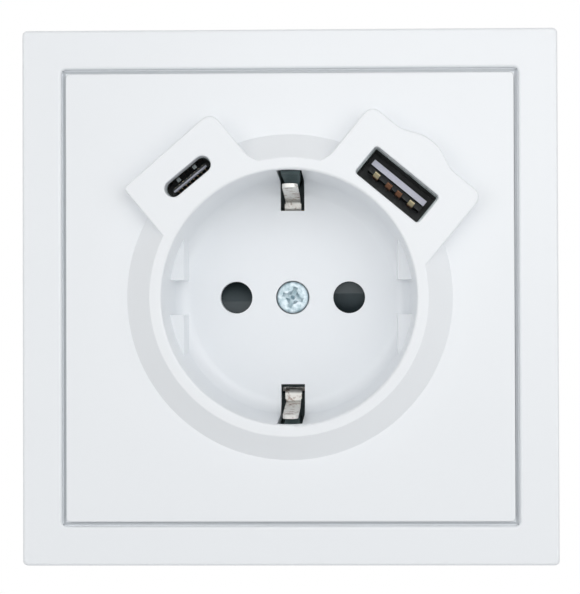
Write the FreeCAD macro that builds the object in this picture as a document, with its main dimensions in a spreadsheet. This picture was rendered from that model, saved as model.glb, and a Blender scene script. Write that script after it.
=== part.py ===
"""USB wall socket: an 86 mm flush outlet with a round plug recess, a USB-A port and a USB-C port.

Millimetres. X runs right, Z up, and the wall plane is y = 0 with the room on the -Y side. The origin is the
centre of the wall box screws on the wall plane. A level is a distance behind the wall plane, so what stands
proud of the wall has a negative level.
"""
import FreeCAD, Part
import math
import os

import Sketcher

Vector = FreeCAD.Vector

# Driving dimensions, in the order in which the socket is put together
SIZES = {
    # mounting plate: galvanised sheet on the wall
    "plate_margin": 5.5,
    "sheet": 1.2,
    "sheet_corner": 2.0,
    "box_screw_spacing": 60.0,
    "box_slot_radius": 1.9,
    "box_slot_length": 5.5,
    "plate_window": 49.2,
    "window_corner": 10.0,
    "window_chamfer": 16.6,
    "window_round": 1.2,
    "tab_width": 12.0,
    "tab_depth": 8.0,
    "catch_width": 6.0,
    "catch_start": 3.6,
    "catch_length": 2.8,
    # cover frame
    "frame_width": 86.0,
    "frame_depth": 9.0,
    "frame_wall": 2.0,
    "frame_face": 2.0,
    "frame_lip": 1.5,
    "frame_corner": 0.8,
    "frame_edge": 0.5,
    "frame_border": 6.3,
    "shadow_depth": 1.2,
    "shadow_step": 0.55,
    "ledge_reach": 3.5,
    "ledge_thickness": 1.8,
    "panel_gap": 0.7,
    # centre plate and its collar
    "panel_thickness": 2.0,
    "panel_skirt": 1.6,
    "panel_corner": 0.7,
    "panel_edge": 0.3,
    "panel_rib": 1.2,
    "rim_rise": 3.5,
    "rim_edge": 0.3,
    "ring_radius": 22.1,
    "collar_radius": 26.1,
    "shell_wall": 1.7,
    # plug recess
    "mouth_radius": 20.25,
    "mouth_edge": 0.4,
    "floor_radius": 19.65,
    "floor_round": 2.5,
    "recess_depth": 17.5,
    "bowl_wall": 1.45,
    "floor_thickness": 2.0,
    "guide_chord": 17.5,
    "guide_drop": 9.0,
    "guide_notch": 5.7,
    "pin_spacing": 19.0,
    "pin_hole": 5.38,
    "earth_slot_width": 4.0,
    "earth_slot_inner": 14.6,
    "earth_slot_lip": 1.2,
    # centre screw, M3
    "screw_shank": 3.0,
    "screw_head": 5.3,
    "screw_head_height": 1.9,
    "screw_head_edge": 0.4,
    "screw_clearance": 0.17,
    "screw_reach": 14.0,
    "cross_turn": 17.0,
    "cross_reach": 1.8,
    "cross_width": 0.75,
    "cross_depth": 1.1,
    "cross_cone": 1.15,
    "cross_cone_depth": 1.7,
    "column_wall": 1.7,
    # ears of the collar, each in its own turned frame with its first axis out from the recess
    "ear_draft": 10.0,
    "ear_root": 12.0,
    "ear_corner": 1.8,
    "ear_flare": 1.0,
    "flare_start": 19.3,
    "flare_end": 21.6,
    "flare_round": 2.0,
    "ear_a_turn": 50.5,
    "ear_a_upper": 9.3,
    "ear_a_lower": 13.65,
    "ear_a_reach": 31.9,
    "bulge_rise": 1.6,
    "bulge_centre": 1.9,
    "bulge_width": 10.4,
    "bulge_top": 2.8,
    "bulge_round": 4.5,
    "ear_c_turn": 129.5,
    "ear_c_half": 9.3,
    "ear_c_reach": 30.1,
    "ear_c_lean": 0.55,
    "ear_c_low_corner": 0.6,
    # USB-A port
    "port_a_out": 24.58,
    "port_a_aside": 1.97,
    "mouth_a_width": 12.9,
    "mouth_a_height": 5.5,
    "mouth_a_depth": 3.1,
    "port_a_width": 13.1,
    "port_a_height": 5.7,
    "port_a_corner": 0.6,
    "port_metal": 0.3,
    "port_block": 1.6,
    "port_edge": 0.25,
    "sleeve_wall": 0.7,
    "sleeve_depth": 6.0,
    "tongue_recess": 0.9,
    "tongue_a_width": 10.7,
    "tongue_a_thickness": 1.84,
    "tongue_a_rise": 0.25,
    "tongue_a_edge": 0.96,
    "tongue_a_step": 2.8,
    "leaf_metal": 0.25,
    "leaf_width": 1.0,
    "leaf_near": 1.03,
    "leaf_far": 3.57,
    "leaf_bend": 0.3,
    "leaf_dip": 0.2,
    "leaf_dip_length": 1.0,
    "leaf_hook": 0.7,
    "leaf_long": 0.5,
    "leaf_short": 1.5,
    # USB-C port
    "port_c_out": 24.96,
    "port_c_aside": 0.18,
    "mouth_c_width": 8.65,
    "mouth_c_height": 2.7,
    "mouth_c_depth": 2.95,
    "port_c_width": 8.94,
    "port_c_height": 3.26,
    "tongue_c_width": 6.69,
    "tongue_c_thickness": 0.7,
    "tongue_c_edge": 0.42,
    "tongue_c_step": 0.5,
    "dimple_place": 1.65,
    "dimple_width": 0.65,
    "dimple_height": 0.28,
    "dimple_start": 4.3,
    "dimple_length": 0.8,
    "contact_c_width": 0.25,
    "contact_c_pitch": 0.8,
    "contact_c_metal": 0.06,
    "contact_c_start": 0.8,
    # gaps between pieces
    "port_gap": 0.1,
    "port_notch_gap": 0.3,
    "fit_gap": 0.1,
    "touch_gap": 0.02,
    # circuit boards
    "board": 1.6,
    "port_board_level": 0.8,
    "port_board_inner": 21.55,
    "port_board_foot": 6.5,
    "power_board_level": 26.5,
    "power_board_foot": 9.75,
    "power_board_gap": 0.4,
    "power_board_top": 21.0,
    "link_tab": 12.0,
    # base housing behind the wall
    "base_radius": 29.0,
    "base_flat": 25.5,
    "base_wall": 1.5,
    "base_depth": 32.0,
    "rebate": 0.8,
    "deck_level": 10.0,
    "deck": 1.8,
    "chamber_wall": 0.8,
    "chamber_half_width": 4.2,
    "chamber_half_height": 3.8,
    "lid": 1.8,
    "lip_depth": 1.5,
    "lip_wall": 1.2,
    "boss_place": 18.1,
    "boss_radius": 2.2,
    "pilot_depth": 8.0,
    "small_screw": 2.2,
    "small_head": 4.4,
    "small_head_height": 1.4,
    "small_screw_reach": 6.5,
    "saw_width": 0.8,
    "saw_depth": 0.7,
    # shutter
    "shutter_gap": 0.15,
    "shutter_bore_gap": 0.06,
    "shutter_reach": 12.9,
    "shutter_half": 3.4,
    "shutter_corner": 1.5,
    "shutter_hub": 5.6,
    "shutter_neck": 4.5,
    "shutter_plate": 1.3,
    "ramp_start": 0.9,
    "ramp_drop": 1.7,
    "ramp_margin": 0.3,
    "spring_wire": 0.4,
    "spring_coil": 5.1,
    "spring_turns": 2.25,
    "spring_pitch": 0.48,
    "spring_room": 0.3,
    "spring_hook": 0.9,
    "spring_tail": 1.4,
    # earth bow
    "bow_width": 6.8,
    "bow_metal": 0.6,
    "bow_drop": 0.65,
    "bow_bend": 0.4,
    "clip_foot_width": 2.8,
    "clip_foot": 14.9,
    "clip_foot_level": 8.0,
    "clip_width": 2.5,
    "clip_riser": 17.3,
    "clip_tip": 18.65,
    "clip_tip_level": -8.0,
    "clip_tip_round": 0.9,
    "clip_slot_gap": 0.25,
    "lug_inner": 19.45,
    "lug_depth": 1.7,
    "lug_level": -6.0,
    "lug_foot_level": 6.0,
    "lug_half_inner": 1.1,
    "lug_half_outer": 1.6,
    "lug_nose": 0.4,
    # live and neutral contacts
    "contact_metal": 0.8,
    "contact_width": 5.0,
    "contact_grip": 2.25,
    "contact_mouth": 2.85,
    "contact_lead": 1.8,
    "contact_grip_level": 16.0,
    "contact_flat": 1.5,
    "contact_spread": 0.55,
    "contact_bend": 0.8,
    "contact_end": 24.4,
    # terminals
    "pillar": 7.5,
    "pillar_corner": 0.6,
    "pillar_place": 12.0,
    "pillar_height": 17.5,
    "pillar_front": 16.0,
    "pillar_back": 26.0,
    "divider_height": 16.0,
    "wire_hole": 3.6,
    "wire_level": 21.0,
    "clamp_screw": 3.5,
    "clamp_head": 5.2,
    "clamp_head_height": 1.9,
    "access_gap": 0.4,
    # charger parts
    "transformer_left": -2.0,
    "transformer_foot": 7.0,
    "transformer_width": 13.0,
    "transformer_height": 13.0,
    "transformer_depth": 12.6,
    "bobbin_inset": 2.0,
    "bobbin_proud": 1.2,
    "core_step": 1.5,
    "cap_place": -7.6,
    "cap_edge": 0.4,
    "input_cap": 6.6,
    "input_cap_length": 11.5,
    "input_cap_up": 16.0,
    "output_cap": 6.3,
    "output_cap_length": 8.0,
    "output_cap_up": 9.0,
    "link_width": 10.0,
    "link_thickness": 1.8,
}

# A round end takes this share of the half width, so that a short straight stays between its two corners
FULL_ROUND = 0.98
CONTACTS_PER_ROW = 8
WIRE_SIDES = 8


class Size:
    """A length from the sheet, or one worked out from such lengths, with the expression that says the same."""

    def __init__(self, number, text):
        self.number = float(number)
        self.text = text

    def __add__(self, other):
        other = size(other)
        return Size(self.number + other.number, f"({self.text} + {other.text})")

    def __sub__(self, other):
        other = size(other)
        return Size(self.number - other.number, f"({self.text} - {other.text})")

    def __mul__(self, other):
        other = size(other)
        return Size(self.number * other.number, f"({self.text} * {other.text})")

    def __truediv__(self, other):
        other = size(other)
        return Size(self.number / other.number, f"({self.text} / {other.text})")

    def __radd__(self, other):
        return size(other) + self

    def __rsub__(self, other):
        return size(other) - self

    def __rmul__(self, other):
        return size(other) * self

    def __neg__(self):
        return size(0) - self


def size(value):
    return value if isinstance(value, Size) else Size(value, f"{float(value):.9f}")


def root(value):
    """Square root of a Size."""
    return Size(math.sqrt(value.number), f"sqrt({value.text})")


doc = FreeCAD.newDocument("usb_wall_socket")
sheet = doc.addObject("Spreadsheet::Sheet", "Sizes")
for row, (alias, value) in enumerate(SIZES.items(), start=1):
    sheet.set(f"A{row}", alias)
    sheet.set(f"B{row}", repr(value))
    sheet.setAlias(f"B{row}", alias)
doc.recompute()
parts = []


class Cells:
    """The sheet's cells as attributes, such as s.frame_width."""

    def __getattr__(self, alias):
        return Size(SIZES[alias], f"Sizes.{alias}")


s = Cells()

# Levels behind the wall plane that several pieces share
FRONT = -s.frame_depth
RIM = FRONT - s.rim_rise
PANEL_BACK = FRONT + s.panel_thickness
LEDGE_FRONT = -(s.sheet + s.ledge_thickness)
FLOOR = RIM + s.recess_depth
FLOOR_BACK = FLOOR + s.floor_thickness
DECK_BACK = s.deck_level + s.deck
LID_FRONT = s.base_depth - s.lid
BOARD_BACK = s.port_board_level + s.board
SHUTTER_FRONT = FLOOR_BACK + s.shutter_gap
SHUTTER_BACK = s.deck_level - s.shutter_gap
SHUTTER_STEP = SHUTTER_FRONT + s.shutter_plate

# Radii and places that several pieces share
OPENING = s.frame_width / 2 - s.frame_border
PANEL_HALF = OPENING - s.panel_gap
COLUMN = s.screw_shank / 2 + s.screw_clearance + s.column_wall
MOAT = s.spring_coil + s.spring_wire / 2 + s.spring_room
PIN = s.pin_spacing / 2
PIN_RADIUS = s.pin_hole / 2
BASE_INNER = s.base_radius - s.base_wall
FLAT_INNER = s.base_flat - s.base_wall
LINK_LOW = FLAT_INNER - s.link_thickness - s.fit_gap
PILLAR_TOP = s.pillar / 2 - s.pillar_height
PILLAR_BOTTOM = -s.pillar / 2 - s.pillar_height
PILLAR_PLACES = (-s.pillar_place, size(0), s.pillar_place)


def rect(x0, x1, y0, y1, radius=None):
    """Corners of a rectangle, each with the same rounding."""
    return [(x0, y0, radius), (x1, y0, radius), (x1, y1, radius), (x0, y1, radius)]


def square(half, radius=None):
    return rect(-half, half, -half, half, radius)


def mirrored(corners):
    """The same outline on the other side of the upright middle line."""
    return [(-size(corner[0]), *corner[1:]) for corner in reversed(corners)]


def upside_down(corners):
    """The same outline below the level middle line."""
    return [(corner[0], -size(corner[1]), *corner[2:]) for corner in reversed(corners)]


class Disc:
    """A full circle in a sketch."""

    def __init__(self, x, y, radius):
        self.x = size(x)
        self.y = size(y)
        self.radius = size(radius)

    def draw(self, piece, sketch):
        centre = Vector(self.x.number, self.y.number, 0)
        ring = sketch.addGeometry(Part.Circle(centre, Vector(0, 0, 1), self.radius.number), False)
        piece.constrain(sketch, self.radius, "Radius", ring)
        piece.place_point(sketch, ring, 3, self.x, self.y)


class Barrel:
    """A circle with four flats, the outline of the base."""

    def __init__(self, radius, flat):
        self.radius = size(radius)
        self.flat = size(flat)

    def draw(self, piece, sketch):
        circle = Part.Circle(Vector(0, 0, 0), Vector(0, 0, 1), self.radius.number)
        tilt = math.acos(self.flat.number / self.radius.number)
        quarter = math.pi / 2
        arcs = [sketch.addGeometry(Part.ArcOfCircle(circle, turn * quarter + tilt, (turn + 1) * quarter - tilt), False)
                for turn in range(4)]
        for turn, arc in enumerate(arcs):
            following = arcs[(turn + 1) % 4]
            run = Part.LineSegment(sketch.getPoint(arc, 2), sketch.getPoint(following, 1))
            line = sketch.addGeometry(run, False)
            sketch.addConstraint(Sketcher.Constraint("Coincident", arc, 3, -1, 1))
            piece.constrain(sketch, self.radius, "Radius", arc)
            sketch.addConstraint(Sketcher.Constraint("Coincident", arc, 2, line, 1))
            sketch.addConstraint(Sketcher.Constraint("Coincident", line, 2, following, 1))
            direction = "DistanceX" if turn % 2 == 1 else "DistanceY"
            flat = self.flat if turn in (0, 3) else -self.flat
            for end in (1, 2):
                piece.constrain(sketch, flat, direction, -1, 1, line, end)


class Outline:
    """A closed outline of straight runs. A corner may have a rounding radius."""

    def __init__(self, corners):
        self.corners = []
        for corner in corners:
            radius = corner[2] if len(corner) > 2 else None
            self.corners.append((size(corner[0]), size(corner[1]), None if radius is None else size(radius)))

    def draw(self, piece, sketch):
        points = [Vector(x.number, y.number, 0) for x, y, _ in self.corners]
        count = len(points)
        cuts = []
        for i, (_, _, radius) in enumerate(self.corners):
            before = (points[i - 1] - points[i]).normalize()
            after = (points[(i + 1) % count] - points[i]).normalize()
            setback = 0 if radius is None else radius.number / math.tan(before.getAngle(after) / 2)
            cuts.append((points[i] + before * setback, points[i] + after * setback))
        lines = []
        for i in range(count):
            run = Part.LineSegment(cuts[i][1], cuts[(i + 1) % count][0])
            lines.append(sketch.addGeometry(run, False))
        for i, (x, y, radius) in enumerate(self.corners):
            incoming = lines[i - 1]
            outgoing = lines[i]
            if radius is None:
                sketch.addConstraint(Sketcher.Constraint("Coincident", incoming, 2, outgoing, 1))
                piece.place_point(sketch, outgoing, 1, x, y)
                continue
            corner = sketch.addGeometry(Part.Point(points[i]), True)
            piece.place_point(sketch, corner, 1, x, y)
            sketch.addConstraint(Sketcher.Constraint("PointOnObject", corner, 1, incoming))
            sketch.addConstraint(Sketcher.Constraint("PointOnObject", corner, 1, outgoing))
            self.round_corner(piece, sketch, points[i], cuts[i], radius, incoming, outgoing)

    @staticmethod
    def round_corner(piece, sketch, point, cut, radius, incoming, outgoing):
        """An arc tangent to both lines, from the end of one to the start of the other."""
        inward = ((cut[0] - point) + (cut[1] - point)).normalize()
        half_angle = (cut[0] - point).getAngle(inward)
        centre = point + inward * (radius.number / math.sin(half_angle))
        middle = centre - inward * radius.number
        arc = sketch.addGeometry(Part.Arc(cut[0], middle, cut[1]), False)
        starts_here = sketch.getPoint(arc, 1).distanceToPoint(cut[0]) < 1e-6
        first, last = (1, 2) if starts_here else (2, 1)
        sketch.addConstraint(Sketcher.Constraint("Tangent", incoming, 2, arc, first))
        sketch.addConstraint(Sketcher.Constraint("Tangent", arc, last, outgoing, 1))
        piece.constrain(sketch, radius, "Radius", arc)


class Piece:
    """One real piece: a body that grows by sketches and features, in the order in which they are called.

    The plane "front" looks at the wall, with X right and Z up, and its levels grow into the wall. The plane
    "side" has Y right and Z up, with levels along X. The plane "top" has X right and Y up, with levels along Z.
    """

    ROLES = {"front": "XZ_Plane", "side": "YZ_Plane", "top": "XY_Plane"}

    def __init__(self, label, kept=True, turn=None):
        """With a turn the whole body sits in an ear's frame, and X runs out along the ear."""
        self.body = doc.addObject("PartDesign::Body", label)
        self.body.Label = label
        if turn is not None:
            self.body.Placement = FreeCAD.Placement(Vector(), FreeCAD.Rotation(Vector(0, -1, 0), turn.number))
            self.body.setExpression(".Placement.Rotation.Angle", turn.text)
        self.label = label
        self.count = 0
        if kept:
            parts.append(self.body)

    def constrain(self, sketch, value, kind, *where):
        index = sketch.addConstraint(Sketcher.Constraint(kind, *where, value.number))
        if "Sizes." in value.text:
            sketch.setExpression(f"Constraints[{index}]", value.text)

    def place_point(self, sketch, geometry, point, x, y):
        self.constrain(sketch, x, "DistanceX", -1, 1, geometry, point)
        self.constrain(sketch, y, "DistanceY", -1, 1, geometry, point)

    def sketch(self, plane, level, shapes, turn=None):
        self.count += 1
        sketch = self.body.newObject("Sketcher::SketchObject", f"{self.label}_sketch_{self.count}")
        role = self.ROLES[plane]
        origin_plane = next(f for f in self.body.Origin.OriginFeatures if f.Role == role)
        sketch.AttachmentSupport = [(origin_plane, "")]
        sketch.MapMode = "FlatFace"
        level = size(level)
        offset = -level if plane == "front" else level
        sketch.setExpression(".AttachmentOffset.Base.z", offset.text)
        if turn is not None:
            sketch.setExpression(".AttachmentOffset.Rotation.Angle", turn.text)
        for shape in shapes:
            drawn = shape if hasattr(shape, "draw") else Outline(shape)
            drawn.draw(self, sketch)
        return sketch

    def feature(self, kind, sketch):
        made = self.body.newObject(f"PartDesign::{kind}", f"{self.label}_{kind.lower()}_{self.count}")
        made.Profile = sketch
        return made

    def pad(self, plane, low, high, *shapes, turn=None, draft=None):
        """Add material between two levels. With a draft it widens from the low level to the high one."""
        low = size(low)
        high = size(high)
        start = high if plane == "front" and draft is None else low
        pad = self.feature("Pad", self.sketch(plane, start, shapes, turn))
        pad.Reversed = draft is not None
        if draft is not None:
            pad.setExpression("TaperAngle", (-draft).text)
        pad.setExpression("Length", (high - low).text)

    def cut(self, plane, low, high, *shapes, turn=None):
        """Remove material between two levels."""
        low = size(low)
        high = size(high)
        start = low if plane == "front" else high
        pocket = self.feature("Pocket", self.sketch(plane, start, shapes, turn))
        pocket.setExpression("Length", (high - low).text)

    def turned(self, kind, corners):
        """A full turn about the Y axis of a profile drawn as (radius, level) corners."""
        sketch = self.sketch("top", 0, [corners])
        made = self.feature(kind, sketch)
        made.ReferenceAxis = (sketch, ["V_Axis"])
        made.Angle = 360

    def fillet(self, radius, wanted):
        """Round the edges of the shape so far that wanted(edge) picks."""
        doc.recompute()
        base = self.body.Tip
        names = [f"Edge{i}" for i, edge in enumerate(base.Shape.Edges, start=1) if wanted(edge)]
        made = self.body.newObject("PartDesign::Fillet", f"{self.label}_fillet_{self.count}")
        made.Base = (base, names)
        made.setExpression("Radius", radius.text)


def at_level(edge, level):
    """True if the whole edge lies at this level."""
    box = edge.BoundBox
    return abs(box.YMin - level.number) < 1e-4 and abs(box.YMax - level.number) < 1e-4


def from_axis(edge):
    """Distance of the edge's middle from the recess axis."""
    middle = edge.valueAt((edge.FirstParameter + edge.LastParameter) / 2)
    return math.hypot(middle.x, middle.z)


def close_to(edge, out, aside, turn, reach):
    """True if the edge's middle is within this reach of a place in an ear's frame."""
    middle = edge.valueAt((edge.FirstParameter + edge.LastParameter) / 2)
    turn = math.radians(turn.number)
    x = out.number * math.cos(turn) - aside.number * math.sin(turn)
    z = out.number * math.sin(turn) + aside.number * math.cos(turn)
    return math.hypot(middle.x - x, middle.z - z) < reach.number


def port_outline(width, height, out, aside, corner):
    """A port's outline in its ear's frame: its height runs out along the ear and its width across it."""
    return rect(out - height / 2, out + height / 2, aside - width / 2, aside + width / 2, corner)


def port_a(grow):
    """The USB-A shell's outline, larger by this on every side."""
    return port_outline(s.port_a_width + grow * 2, s.port_a_height + grow * 2, s.port_a_out, -s.port_a_aside,
                        s.port_a_corner + grow)


def port_c(grow):
    """The USB-C shell's outline, larger by this on every side."""
    height = s.port_c_height + grow * 2
    return port_outline(s.port_c_width + grow * 2, height, s.port_c_out, s.port_c_aside, height / 2 * FULL_ROUND)


def mouth_a():
    return port_outline(s.mouth_a_width, s.mouth_a_height, s.port_a_out, -s.port_a_aside, s.port_a_corner)


def mouth_c():
    return port_outline(s.mouth_c_width, s.mouth_c_height, s.port_c_out, s.port_c_aside,
                        s.mouth_c_height / 2 * FULL_ROUND)


def make_mounting_plate():
    """Stamped steel plate. The base hangs on it by a tab and two screws, and slots take the box screws."""
    plate = Piece("mounting_plate")
    plate.pad("front", -s.sheet, 0, square(s.frame_width / 2 - s.frame_wall - s.plate_margin, s.sheet_corner))
    half = s.plate_window / 2
    low = half - s.window_chamfer
    bend = s.window_round
    plate.cut("front", -s.sheet, 0, [
        (-half, half, s.window_corner), (half, half, s.window_corner), (half, -low, bend), (low, -half, bend),
        (-low, -half, bend), (-half, -low, bend)])
    slim = s.box_slot_radius
    rounding = slim * FULL_ROUND
    for sign in (-1, 1):
        near = sign * s.box_screw_spacing / 2 - s.box_slot_length / 2
        far = near + s.box_slot_length
        plate.cut("front", -s.sheet, 0, rect(near, far, -slim, slim, rounding),
                  rect(-slim, slim, near, far, rounding))
        plate.cut("front", -s.sheet, 0, Disc(sign * s.boss_place, -s.boss_place, s.small_screw / 2 + s.fit_gap))
    outside = s.base_flat + s.sheet
    plate.pad("front", -s.sheet, s.tab_depth, rect(-s.tab_width / 2, s.tab_width / 2, s.base_flat, outside))
    plate.cut("top", s.base_flat, outside, rect(-s.catch_width / 2, s.catch_width / 2, s.catch_start,
                                                s.catch_start + s.catch_length))


def make_cover_frame():
    """Moulded square frame, hollow behind. Its inner ledge is held down on the plate by the centre plate.

    A narrow step in the opening is the bottom of the groove around the centre plate.
    """
    frame = Piece("cover_frame")
    half = s.frame_width / 2
    lip = OPENING + s.frame_lip
    step = FRONT + s.shadow_depth
    frame.pad("front", FRONT, 0, square(half, s.frame_corner))
    frame.cut("front", FRONT, step, square(OPENING, s.frame_corner))
    frame.cut("front", step, 0, square(OPENING - s.shadow_step, s.frame_corner))
    frame.fillet(s.frame_edge, lambda edge: at_level(edge, FRONT))
    frame.cut("front", FRONT + s.frame_face, 0, square(half - s.frame_wall), square(lip))
    frame.pad("front", LEDGE_FRONT, -s.sheet, square(lip - s.frame_lip / 2), square(OPENING - s.ledge_reach))


def ear_a(inset=0, outside=True):
    """The USB-A ear from its root in the ring outwards, with the soft swelling in the middle of its end."""
    upper = s.ear_a_upper - inset
    lower = s.ear_a_lower - inset
    reach = s.ear_a_reach - inset
    start = s.ear_root
    top = reach + s.bulge_rise
    middle = -s.bulge_centre
    swelling = [(reach, middle - s.bulge_width / 2, s.bulge_round), (top, middle - s.bulge_top / 2, s.bulge_round),
                (top, middle + s.bulge_top / 2, s.bulge_round), (reach, middle + s.bulge_width / 2, s.bulge_round)]
    flare = [(s.flare_end, upper, s.flare_round), (s.flare_start, upper + s.ear_flare), (start, upper + s.ear_flare)]
    if not outside:
        swelling = []
        flare = [(start, upper)]
    return [(start, -lower), (reach, -lower, s.ear_corner), *swelling, (reach, upper, s.ear_corner), *flare]


def ear_c(inset=0, outside=True):
    """The USB-C ear. Its end leans out a little towards the upper corner, and the lower corner is sharper."""
    start = s.ear_root
    half = s.ear_c_half - inset
    reach = s.ear_c_reach - inset
    flare = [(start, -half - s.ear_flare), (s.flare_start, -half - s.ear_flare), (s.flare_end, -half, s.flare_round)]
    if not outside:
        flare = [(start, -half)]
    return [*flare, (reach + s.ear_c_lean, -half, s.ear_corner), (reach, half, s.ear_c_low_corner), (start, half)]


def make_centre_plate():
    """One moulding: panel, skirt, conical collar with two ears, and the plug recess with guides and slots."""
    panel = Piece("centre_plate")
    half = PANEL_HALF
    panel.pad("front", FRONT, PANEL_BACK, square(half, s.panel_corner))
    panel.fillet(s.panel_edge, lambda edge: at_level(edge, FRONT))
    skirt = half - s.panel_skirt
    panel.pad("front", PANEL_BACK, LEDGE_FRONT, square(half, s.panel_corner), square(skirt))

    # collar and ears, solid at first
    panel.turned("Revolution", [(0, PANEL_BACK), (s.collar_radius, PANEL_BACK), (s.collar_radius, FRONT),
                                (s.ring_radius, RIM), (0, RIM)])
    sunk = FRONT + s.panel_thickness / 2
    panel.pad("front", RIM, sunk, ear_a(), turn=s.ear_a_turn, draft=s.ear_draft)
    panel.pad("front", RIM, sunk, ear_c(), turn=s.ear_c_turn, draft=s.ear_draft)
    panel.fillet(s.rim_edge, lambda edge: at_level(edge, RIM))

    # the collar and ears are hollow from behind
    inside = RIM + s.shell_wall
    panel.turned("Groove", [(0, PANEL_BACK), (s.collar_radius - s.shell_wall, PANEL_BACK),
                            (s.ring_radius - s.shell_wall, inside), (0, inside)])
    panel.cut("front", inside, PANEL_BACK, ear_a(s.shell_wall, outside=False), turn=s.ear_a_turn)
    panel.cut("front", inside, PANEL_BACK, ear_c(s.shell_wall, outside=False), turn=s.ear_c_turn)

    # ribs behind the panel, from the recess wall to the skirt
    rib = s.panel_rib / 2
    near = s.floor_radius + s.bowl_wall / 2
    far = half - s.panel_skirt / 2
    for sign in (-1, 1):
        panel.pad("front", PANEL_BACK, LEDGE_FRONT, rect(-rib, rib, sign * near, sign * far))
        panel.pad("front", PANEL_BACK, LEDGE_FRONT, rect(sign * near, sign * far, -rib, rib))

    # recess wall, floor and the column that the shutter turns on
    start = inside - s.shell_wall / 2
    panel.turned("Revolution", [(0, start), (s.mouth_radius + s.bowl_wall, start),
                                (s.floor_radius + s.bowl_wall, FLOOR_BACK, s.floor_thickness), (0, FLOOR_BACK)])
    panel.pad("front", FLOOR_BACK, s.deck_level, Disc(0, 0, COLUMN))
    above = RIM - s.rim_rise
    panel.turned("Groove", [(0, above), (s.mouth_radius, above), (s.mouth_radius, RIM),
                            (s.floor_radius, FLOOR, s.floor_round), (0, FLOOR)])
    panel.fillet(s.mouth_edge, lambda edge: at_level(edge, RIM)
                 and abs(from_axis(edge) - s.mouth_radius.number) < 1e-3)

    # two pairs of side guides, each rooted in the middle of the recess wall
    inner = s.guide_chord
    low = s.guide_notch / 2
    wall = s.floor_radius + s.bowl_wall / 2
    high = root(wall * wall - inner * inner)
    shoulder = (low + high) / 2
    guide = [(inner, low), (root(wall * wall - low * low), low),
             (root(wall * wall - shoulder * shoulder), shoulder), (inner, high)]
    for side in (guide, mirrored(guide)):
        panel.pad("front", RIM + s.guide_drop, FLOOR + s.floor_thickness / 2, side, upside_down(side))

    # holes: pins, screw with its counterbore, earth slots that climb the wall, ports
    panel.cut("front", FLOOR, FLOOR_BACK, Disc(-PIN, 0, PIN_RADIUS), Disc(PIN, 0, PIN_RADIUS))
    panel.cut("front", FLOOR, FLOOR_BACK, Disc(0, 0, s.screw_head / 2 + s.screw_clearance))
    panel.cut("front", FLOOR, s.deck_level, Disc(0, 0, s.screw_shank / 2 + s.screw_clearance))
    slot = s.earth_slot_width / 2
    outside = s.mouth_radius + s.bowl_wall + s.fit_gap
    for sign in (-1, 1):
        panel.cut("front", RIM + s.earth_slot_lip, FLOOR_BACK,
                  rect(-slot, slot, sign * s.earth_slot_inner, sign * outside))
    port_openings(panel)


def port_openings(panel):
    """For each port a sleeve behind the ear's face: a mouth with a rounded edge, and a wider seat for the shell."""
    middle = RIM + s.shell_wall / 2
    end = RIM + s.sleeve_depth
    for port, mouth, depth, turn in ((port_a, mouth_a(), s.mouth_a_depth, s.ear_a_turn),
                                     (port_c, mouth_c(), s.mouth_c_depth, s.ear_c_turn)):
        panel.pad("front", middle, end, port(s.port_gap + s.sleeve_wall), turn=turn)
        panel.cut("front", RIM + depth, end, port(s.port_gap), turn=turn)
        panel.cut("front", RIM, RIM + depth, mouth, turn=turn)
    panel.fillet(s.port_edge, lambda edge: at_level(edge, RIM) and (
        close_to(edge, s.port_a_out, -s.port_a_aside, s.ear_a_turn, s.mouth_a_width / 2 + s.port_edge)
        or close_to(edge, s.port_c_out, s.port_c_aside, s.ear_c_turn, s.mouth_c_width / 2 + s.port_edge)))


def make_base_housing():
    """Moulded base behind the wall: rim with a board rebate, deck under the recess, contact chambers, seats."""
    base = Piece("base_housing")
    base.pad("front", 0, LID_FRONT, Barrel(s.base_radius, s.base_flat))
    base.cut("front", 0, s.deck_level, Barrel(BASE_INNER, FLAT_INNER))
    base.cut("front", DECK_BACK, LID_FRONT, Barrel(BASE_INNER, FLAT_INNER))
    base.cut("front", 0, BOARD_BACK, Barrel(s.base_radius - s.rebate, s.base_flat - s.rebate))
    base.cut("front", 0, s.port_board_level + s.fit_gap, port_a(s.port_notch_gap), turn=s.ear_a_turn)
    nib = s.catch_width / 2 - s.fit_gap
    base.pad("front", s.catch_start + s.fit_gap, s.catch_start + s.catch_length - s.fit_gap,
             rect(-nib, nib, s.base_flat - s.base_wall / 2, s.base_flat + s.sheet))
    screw_holes(base)
    contact_chambers(base)

    # slots for the earth clips, the pin header and the spring's tail
    slot = s.earth_slot_width / 2
    for sign in (-1, 1):
        near = sign * (s.clip_foot - s.clip_slot_gap) - s.bow_drop
        far = sign * (s.clip_foot + s.bow_metal + s.clip_slot_gap) - s.bow_drop
        base.cut("front", s.deck_level, DECK_BACK, rect(-slot, slot, near, far))
        clip_lug(base, sign)
    link = s.link_width / 2 + s.fit_gap
    base.cut("front", s.deck_level, DECK_BACK, rect(-link, link, LINK_LOW - s.fit_gap, FLAT_INNER))
    turn = s.spring_turns.number * 2 * math.pi
    tail_hole = Disc(s.spring_coil * math.cos(turn), s.spring_coil * math.sin(turn), s.spring_wire / 2 + s.fit_gap)
    base.cut("front", s.deck_level, DECK_BACK, tail_hole)
    terminal_seats(base)


def clip_lug(base, sign):
    """A wedge that stands on the deck behind an earth clip, in the slot of the recess wall, and backs the clip."""
    inner = sign * s.lug_inner - s.bow_drop
    outer = inner + sign * s.lug_depth
    base.pad("front", s.lug_level, s.deck_level + s.deck / 2,
             [(-s.lug_half_inner, inner), (s.lug_half_inner, inner), (s.lug_half_outer, outer),
              (-s.lug_half_outer, outer)])
    level = s.lug_level - s.fit_gap
    start = inner - sign * s.fit_gap
    base.cut("side", -s.lug_half_outer, s.lug_half_outer,
             [(level, start), (s.lug_foot_level, start), (level, outer - sign * s.lug_nose)])


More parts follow.
